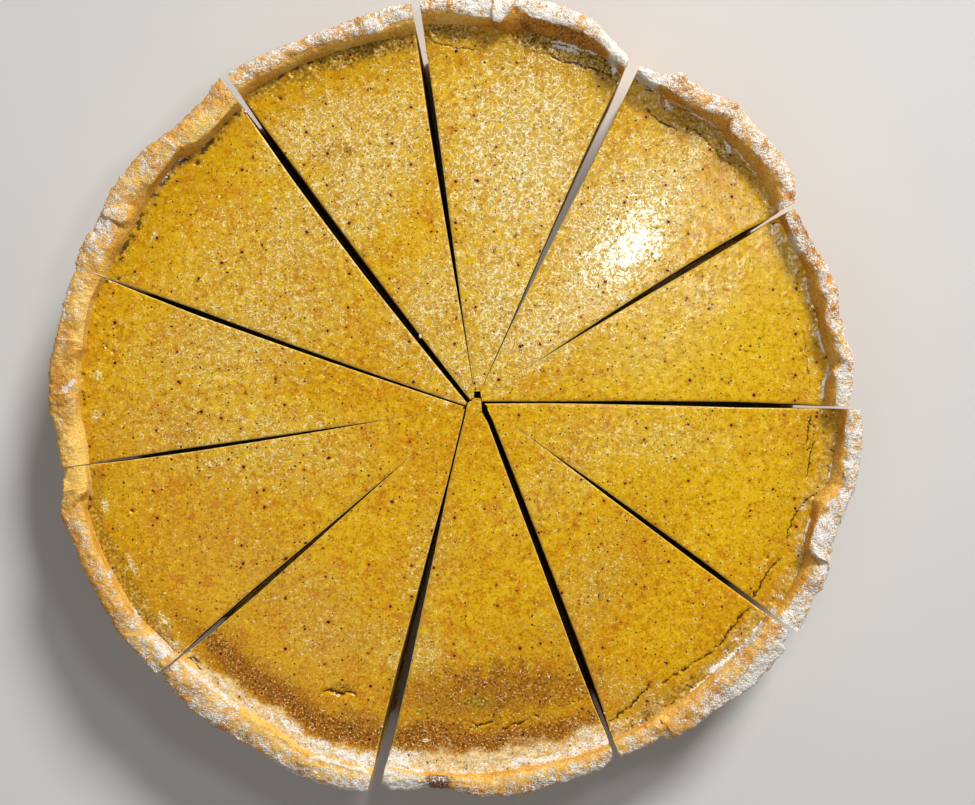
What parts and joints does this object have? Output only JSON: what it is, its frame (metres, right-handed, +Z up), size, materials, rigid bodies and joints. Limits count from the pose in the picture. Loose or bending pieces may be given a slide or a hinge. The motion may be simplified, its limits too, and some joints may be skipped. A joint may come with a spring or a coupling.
{
  "type": "pumpkin pie",
  "caption": "Round pumpkin pie cut into wedges, with a deep smooth custard filling in a shortcrust shell that has a broad uneven lip dusted with icing sugar.",
  "frame": {"origin": "middle of the overall box, at the underside of the pastry", "axes": "+Z up through the pie; +X to the right and +Y away, as the pie is seen from above"},
  "size_m": [0.2807, 0.2759, 0.0369],
  "materials": {
    "baked_crust": "dry baked shortcrust, matte, browned and dusted with icing sugar",
    "pumpkin_filling": "baked pumpkin custard, soft and satin, with a finely bubbled skin"
  },
  "bodies": {
    "root": {"crust_01": "baked_crust", "crust_02": "baked_crust", "crust_03": "baked_crust", "crust_04": "baked_crust", "crust_05": "baked_crust", "crust_06": "baked_crust", "crust_07": "baked_crust", "crust_08": "baked_crust", "crust_09": "baked_crust", "crust_10": "baked_crust", "crust_11": "baked_crust", "filling_01": "pumpkin_filling", "filling_02": "pumpkin_filling", "filling_03": "pumpkin_filling", "filling_04": "pumpkin_filling", "filling_05": "pumpkin_filling", "filling_06": "pumpkin_filling", "filling_07": "pumpkin_filling", "filling_08": "pumpkin_filling", "filling_09": "pumpkin_filling", "filling_10": "pumpkin_filling", "filling_11": "pumpkin_filling"}
  },
  "joints": []
}
